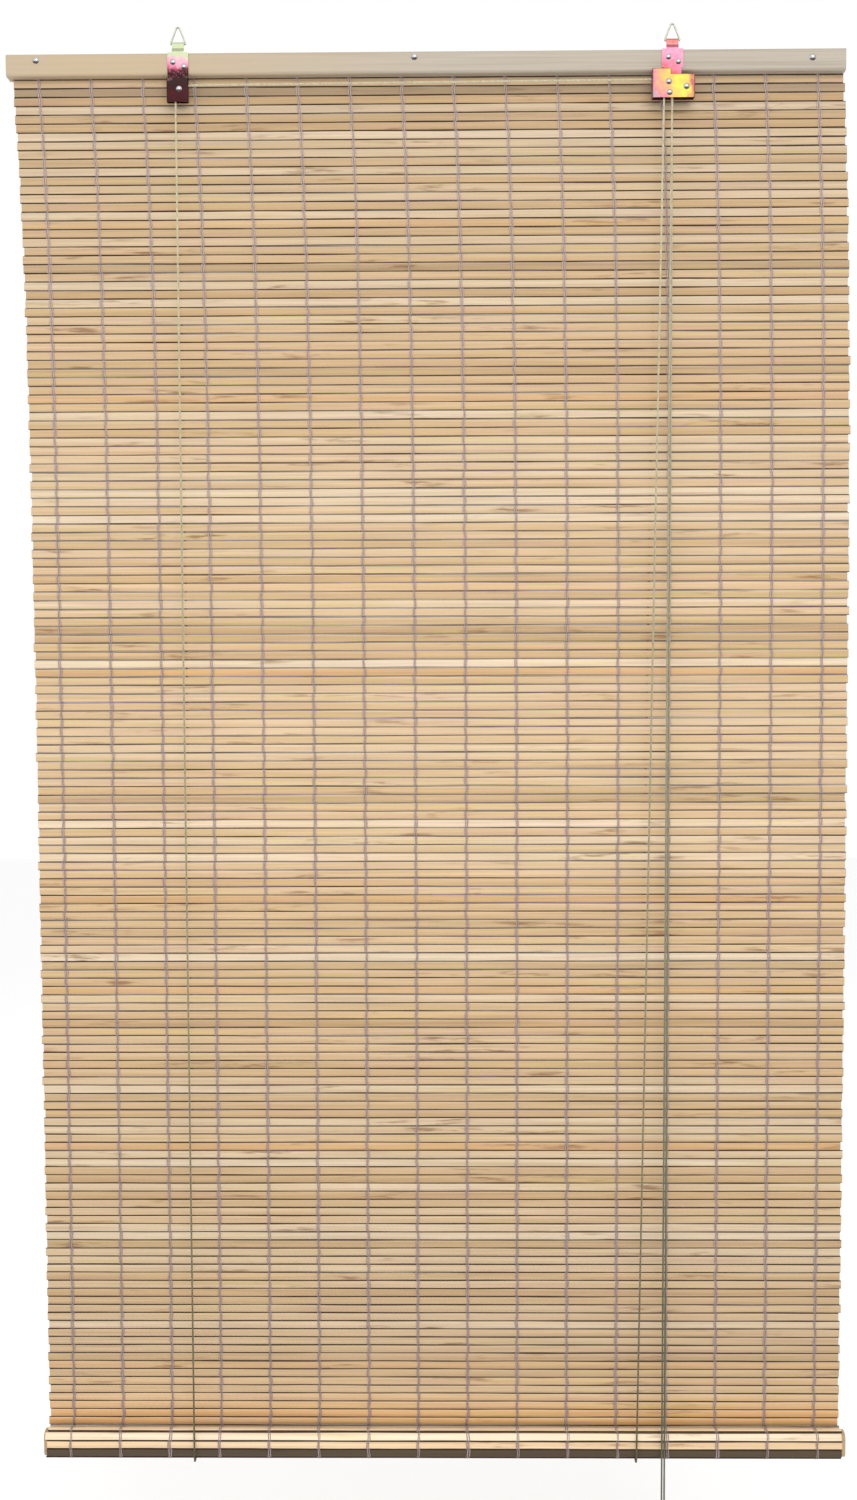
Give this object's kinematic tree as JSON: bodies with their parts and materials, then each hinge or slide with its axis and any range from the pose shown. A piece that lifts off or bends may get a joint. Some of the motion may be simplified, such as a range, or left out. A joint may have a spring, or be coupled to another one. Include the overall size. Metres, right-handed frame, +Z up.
{
  "type": "bamboo roll up blind",
  "caption": "Window blind of flat bamboo slats woven on threads, hung by two wire rings from a wooden headrail and rolled up from below by cords through a pulley and a cord lock.",
  "frame": {"origin": "midway between the two hanging rings, at the inside top of their wires, where the hooks bear", "axes": "+X along the headrail to the cord lock's side, +Y towards the wall behind the blind, +Z up"},
  "size_m": [0.8189, 0.0348, 1.4491],
  "materials": {
    "bamboo": "sawn bamboo, light lacquer",
    "rail_wood": "planed, pale and matt",
    "batten_wood": "planed",
    "zinc_steel": "yellow-pink passivated zinc",
    "bright_steel": "bright nickel",
    "ring_wire": "drawn wire, zinc plated",
    "cord": "braided",
    "wheel_nylon": "moulded",
    "cam_brass": "cast and tumbled"
  },
  "bodies": {
    "headrail": {"front_batten": "rail_wood", "rear_batten": "rail_wood", "rail_nails": "bright_steel", "upper_slats": "bamboo", "pulley_plate": "zinc_steel", "lock_plate": "zinc_steel", "hanger_tacks": "bright_steel", "pulley_cover": "zinc_steel", "lock_cover": "zinc_steel", "housing_rivets": "bright_steel", "lift_cord_left": "cord", "lift_cord_right": "cord", "pull_cord_left": "cord", "pull_cord_right": "cord", "cord_staples": "bright_steel", "cord_knots": "cord"},
    "ring_left": {"hanging_ring_left": "ring_wire"},
    "ring_right": {"hanging_ring_right": "ring_wire"},
    "pulley_wheel": {"pulley_wheel": "wheel_nylon"},
    "lock_wheel": {"lock_wheel": "wheel_nylon"},
    "lock_cam": {"lock_cam": "cam_brass"},
    "slat_band_01": {"slat_band_01": "bamboo"},
    "slat_band_02": {"slat_band_02": "bamboo"},
    "slat_band_03": {"slat_band_03": "bamboo"},
    "slat_band_04": {"slat_band_04": "bamboo"},
    "slat_band_05": {"slat_band_05": "bamboo"},
    "slat_band_06": {"slat_band_06": "bamboo"},
    "slat_band_07": {"slat_band_07": "bamboo"},
    "slat_band_08": {"slat_band_08": "bamboo"},
    "slat_band_09": {"slat_band_09": "bamboo"},
    "slat_band_10": {"slat_band_10": "bamboo"},
    "slat_band_11": {"slat_band_11": "bamboo"},
    "slat_band_12": {"slat_band_12": "bamboo"},
    "slat_band_13": {"slat_band_13": "bamboo"},
    "slat_band_14": {"slat_band_14": "bamboo"},
    "slat_band_15": {"slat_band_15": "bamboo"},
    "slat_band_16": {"slat_band_16": "bamboo"},
    "slat_band_17": {"slat_band_17": "bamboo"},
    "slat_band_18": {"slat_band_18": "bamboo"},
    "slat_band_19": {"slat_band_19": "bamboo"},
    "slat_band_20": {"slat_band_20": "bamboo"},
    "slat_band_21": {"slat_band_21": "bamboo"},
    "slat_band_22": {"slat_band_22": "bamboo"},
    "slat_band_23": {"slat_band_23": "bamboo"},
    "slat_band_24": {"slat_band_24": "bamboo"},
    "slat_band_25": {"slat_band_25": "bamboo"},
    "slat_band_26": {"slat_band_26": "bamboo"},
    "slat_band_27": {"slat_band_27": "bamboo"},
    "slat_band_28": {"slat_band_28": "bamboo"},
    "slat_band_29": {"slat_band_29": "bamboo"},
    "slat_band_30": {"slat_band_30": "bamboo"},
    "slat_band_31": {"slat_band_31": "bamboo"},
    "slat_band_32": {"slat_band_32": "bamboo"},
    "slat_band_33": {"slat_band_33": "bamboo"},
    "slat_band_34": {"slat_band_34": "bamboo"},
    "slat_band_35": {"slat_band_35": "bamboo"},
    "slat_band_36": {"slat_band_36": "bamboo"},
    "roll": {"roll_slats": "bamboo", "bottom_batten": "batten_wood"}
  },
  "joints": [
    {"name": "roll_up_01", "type": "hinge", "parent": "headrail", "child": "slat_band_01", "pos_m": [0, 0.0078, -0.14505], "axis": [-1, 0, 0], "range_deg": [0, 37.92]},
    {"name": "roll_up_02", "type": "hinge", "parent": "slat_band_01", "child": "slat_band_02", "pos_m": [0, 0.0078, -0.1868], "axis": [-1, 0, 0], "range_deg": [0, 43.14]},
    {"name": "roll_up_03", "type": "hinge", "parent": "slat_band_02", "child": "slat_band_03", "pos_m": [0, 0.0078, -0.2369], "axis": [-1, 0, 0], "range_deg": [0, 47.85]},
    {"name": "roll_up_04", "type": "hinge", "parent": "slat_band_03", "child": "slat_band_04", "pos_m": [0, 0.0078, -0.287], "axis": [-1, 0, 0], "range_deg": [0, 48.69]},
    {"name": "roll_up_05", "type": "hinge", "parent": "slat_band_04", "child": "slat_band_05", "pos_m": [0, 0.0078, -0.3371], "axis": [-1, 0, 0], "range_deg": [0, 45.45]},
    {"name": "roll_up_06", "type": "hinge", "parent": "slat_band_05", "child": "slat_band_06", "pos_m": [0, 0.0078, -0.37885], "axis": [-1, 0, 0], "range_deg": [0, 41.97]},
    {"name": "roll_up_07", "type": "hinge", "parent": "slat_band_06", "child": "slat_band_07", "pos_m": [0, 0.0078, -0.4206], "axis": [-1, 0, 0], "range_deg": [0, 42.65]},
    {"name": "roll_up_08", "type": "hinge", "parent": "slat_band_07", "child": "slat_band_08", "pos_m": [0, 0.0078, -0.46235], "axis": [-1, 0, 0], "range_deg": [0, 43.37]},
    {"name": "roll_up_09", "type": "hinge", "parent": "slat_band_08", "child": "slat_band_09", "pos_m": [0, 0.0078, -0.5041], "axis": [-1, 0, 0], "range_deg": [0, 44.12]},
    {"name": "roll_up_10", "type": "hinge", "parent": "slat_band_09", "child": "slat_band_10", "pos_m": [0, 0.0078, -0.54585], "axis": [-1, 0, 0], "range_deg": [0, 44.91]},
    {"name": "roll_up_11", "type": "hinge", "parent": "slat_band_10", "child": "slat_band_11", "pos_m": [0, 0.0078, -0.5876], "axis": [-1, 0, 0], "range_deg": [0, 45.74]},
    {"name": "roll_up_12", "type": "hinge", "parent": "slat_band_11", "child": "slat_band_12", "pos_m": [0, 0.0078, -0.62935], "axis": [-1, 0, 0], "range_deg": [0, 46.62]},
    {"name": "roll_up_13", "type": "hinge", "parent": "slat_band_12", "child": "slat_band_13", "pos_m": [0, 0.0078, -0.6711], "axis": [-1, 0, 0], "range_deg": [0, 47.56]},
    {"name": "roll_up_14", "type": "hinge", "parent": "slat_band_13", "child": "slat_band_14", "pos_m": [0, 0.0078, -0.71285], "axis": [-1, 0, 0], "range_deg": [0, 48.56]},
    {"name": "roll_up_15", "type": "hinge", "parent": "slat_band_14", "child": "slat_band_15", "pos_m": [0, 0.0078, -0.7546], "axis": [-1, 0, 0], "range_deg": [0, 44.66]},
    {"name": "roll_up_16", "type": "hinge", "parent": "slat_band_15", "child": "slat_band_16", "pos_m": [0, 0.0078, -0.788], "axis": [-1, 0, 0], "range_deg": [0, 40.43]},
    {"name": "roll_up_17", "type": "hinge", "parent": "slat_band_16", "child": "slat_band_17", "pos_m": [0, 0.0078, -0.8214], "axis": [-1, 0, 0], "range_deg": [0, 41.19]},
    {"name": "roll_up_18", "type": "hinge", "parent": "slat_band_17", "child": "slat_band_18", "pos_m": [0, 0.0078, -0.8548], "axis": [-1, 0, 0], "range_deg": [0, 41.99]},
    {"name": "roll_up_19", "type": "hinge", "parent": "slat_band_18", "child": "slat_band_19", "pos_m": [0, 0.0078, -0.8882], "axis": [-1, 0, 0], "range_deg": [0, 42.85]},
    {"name": "roll_up_20", "type": "hinge", "parent": "slat_band_19", "child": "slat_band_20", "pos_m": [0, 0.0078, -0.9216], "axis": [-1, 0, 0], "range_deg": [0, 43.76]},
    {"name": "roll_up_21", "type": "hinge", "parent": "slat_band_20", "child": "slat_band_21", "pos_m": [0, 0.0078, -0.955], "axis": [-1, 0, 0], "range_deg": [0, 44.73]},
    {"name": "roll_up_22", "type": "hinge", "parent": "slat_band_21", "child": "slat_band_22", "pos_m": [0, 0.0078, -0.9884], "axis": [-1, 0, 0], "range_deg": [0, 45.77]},
    {"name": "roll_up_23", "type": "hinge", "parent": "slat_band_22", "child": "slat_band_23", "pos_m": [0, 0.0078, -1.0218], "axis": [-1, 0, 0], "range_deg": [0, 46.88]},
    {"name": "roll_up_24", "type": "hinge", "parent": "slat_band_23", "child": "slat_band_24", "pos_m": [0, 0.0078, -1.0552], "axis": [-1, 0, 0], "range_deg": [0, 48.08]},
    {"name": "roll_up_25", "type": "hinge", "parent": "slat_band_24", "child": "slat_band_25", "pos_m": [0, 0.0078, -1.0886], "axis": [-1, 0, 0], "range_deg": [0, 43.21]},
    {"name": "roll_up_26", "type": "hinge", "parent": "slat_band_25", "child": "slat_band_26", "pos_m": [0, 0.0078, -1.11365], "axis": [-1, 0, 0], "range_deg": [0, 37.83]},
    {"name": "roll_up_27", "type": "hinge", "parent": "slat_band_26", "child": "slat_band_27", "pos_m": [0, 0.0078, -1.1387], "axis": [-1, 0, 0], "range_deg": [0, 38.67]},
    {"name": "roll_up_28", "type": "hinge", "parent": "slat_band_27", "child": "slat_band_28", "pos_m": [0, 0.0078, -1.16375], "axis": [-1, 0, 0], "range_deg": [0, 39.56]},
    {"name": "roll_up_29", "type": "hinge", "parent": "slat_band_28", "child": "slat_band_29", "pos_m": [0, 0.0078, -1.1888], "axis": [-1, 0, 0], "range_deg": [0, 40.52]},
    {"name": "roll_up_30", "type": "hinge", "parent": "slat_band_29", "child": "slat_band_30", "pos_m": [0, 0.0078, -1.21385], "axis": [-1, 0, 0], "range_deg": [0, 41.55]},
    {"name": "roll_up_31", "type": "hinge", "parent": "slat_band_30", "child": "slat_band_31", "pos_m": [0, 0.0078, -1.2389], "axis": [-1, 0, 0], "range_deg": [0, 42.67]},
    {"name": "roll_up_32", "type": "hinge", "parent": "slat_band_31", "child": "slat_band_32", "pos_m": [0, 0.0078, -1.26395], "axis": [-1, 0, 0], "range_deg": [0, 43.88]},
    {"name": "roll_up_33", "type": "hinge", "parent": "slat_band_32", "child": "slat_band_33", "pos_m": [0, 0.0078, -1.289], "axis": [-1, 0, 0], "range_deg": [0, 45.2]},
    {"name": "roll_up_34", "type": "hinge", "parent": "slat_band_33", "child": "slat_band_34", "pos_m": [0, 0.0078, -1.31405], "axis": [-1, 0, 0], "range_deg": [0, 46.65]},
    {"name": "roll_up_35", "type": "hinge", "parent": "slat_band_34", "child": "slat_band_35", "pos_m": [0, 0.0078, -1.3391], "axis": [-1, 0, 0], "range_deg": [0, 48.24]},
    {"name": "roll_up_36", "type": "hinge", "parent": "slat_band_35", "child": "slat_band_36", "pos_m": [0, 0.0078, -1.36415], "axis": [-1, 0, 0], "range_deg": [0, 41.69]},
    {"name": "roll_up", "type": "hinge", "parent": "slat_band_36", "child": "roll", "pos_m": [0, 0.0078, -1.38085], "axis": [-1, 0, 0], "range_deg": [0, 34.17], "deforming": ["lift_cord_left", "lift_cord_right", "pull_cord_left", "pull_cord_right"]},
    {"name": "ring_left_swing", "type": "hinge", "parent": "headrail", "child": "ring_left", "pos_m": [-0.2365, 0, -0.01485], "axis": [1, 0, 0], "range_deg": [-112, 115]},
    {"name": "ring_right_swing", "type": "hinge", "parent": "headrail", "child": "ring_right", "pos_m": [0.2365, 0, -0.01485], "axis": [1, 0, 0], "range_deg": [-112, 115]},
    {"name": "pulley_wheel_turn", "type": "hinge", "parent": "headrail", "child": "pulley_wheel", "pos_m": [-0.2349, -0.00605, -0.05925], "axis": [0, 1, 0], "continuous": true},
    {"name": "lock_wheel_turn", "type": "hinge", "parent": "headrail", "child": "lock_wheel", "pos_m": [0.232, -0.0075, -0.05675], "axis": [0, 1, 0], "continuous": true},
    {"name": "lock_cam_swing", "type": "hinge", "parent": "headrail", "child": "lock_cam", "pos_m": [0.2488, -0.0075, -0.06125], "axis": [0, 1, 0], "range_deg": [-10, 25]}
  ],
  "couplings": [
    {"joint": "roll_up_01", "follows": "roll_up", "ratio": 1.1083},
    {"joint": "roll_up_02", "follows": "roll_up", "ratio": 1.261},
    {"joint": "roll_up_03", "follows": "roll_up", "ratio": 1.3989},
    {"joint": "roll_up_04", "follows": "roll_up", "ratio": 1.4235},
    {"joint": "roll_up_05", "follows": "roll_up", "ratio": 1.3287},
    {"joint": "roll_up_06", "follows": "roll_up", "ratio": 1.2268},
    {"joint": "roll_up_07", "follows": "roll_up", "ratio": 1.2467},
    {"joint": "roll_up_08", "follows": "roll_up", "ratio": 1.2678},
    {"joint": "roll_up_09", "follows": "roll_up", "ratio": 1.2897},
    {"joint": "roll_up_10", "follows": "roll_up", "ratio": 1.3128},
    {"joint": "roll_up_11", "follows": "roll_up", "ratio": 1.3371},
    {"joint": "roll_up_12", "follows": "roll_up", "ratio": 1.3629},
    {"joint": "roll_up_13", "follows": "roll_up", "ratio": 1.3904},
    {"joint": "roll_up_14", "follows": "roll_up", "ratio": 1.4197},
    {"joint": "roll_up_15", "follows": "roll_up", "ratio": 1.3055},
    {"joint": "roll_up_16", "follows": "roll_up", "ratio": 1.1817},
    {"joint": "roll_up_17", "follows": "roll_up", "ratio": 1.204},
    {"joint": "roll_up_18", "follows": "roll_up", "ratio": 1.2274},
    {"joint": "roll_up_19", "follows": "roll_up", "ratio": 1.2526},
    {"joint": "roll_up_20", "follows": "roll_up", "ratio": 1.2792},
    {"joint": "roll_up_21", "follows": "roll_up", "ratio": 1.3076},
    {"joint": "roll_up_22", "follows": "roll_up", "ratio": 1.338},
    {"joint": "roll_up_23", "follows": "roll_up", "ratio": 1.3705},
    {"joint": "roll_up_24", "follows": "roll_up", "ratio": 1.4056},
    {"joint": "roll_up_25", "follows": "roll_up", "ratio": 1.2631},
    {"joint": "roll_up_26", "follows": "roll_up", "ratio": 1.1056},
    {"joint": "roll_up_27", "follows": "roll_up", "ratio": 1.1302},
    {"joint": "roll_up_28", "follows": "roll_up", "ratio": 1.1563},
    {"joint": "roll_up_29", "follows": "roll_up", "ratio": 1.1844},
    {"joint": "roll_up_30", "follows": "roll_up", "ratio": 1.2145},
    {"joint": "roll_up_31", "follows": "roll_up", "ratio": 1.2473},
    {"joint": "roll_up_32", "follows": "roll_up", "ratio": 1.2827},
    {"joint": "roll_up_33", "follows": "roll_up", "ratio": 1.3213},
    {"joint": "roll_up_34", "follows": "roll_up", "ratio": 1.3638},
    {"joint": "roll_up_35", "follows": "roll_up", "ratio": 1.4103},
    {"joint": "roll_up_36", "follows": "roll_up", "ratio": 1.2186}
  ]
}
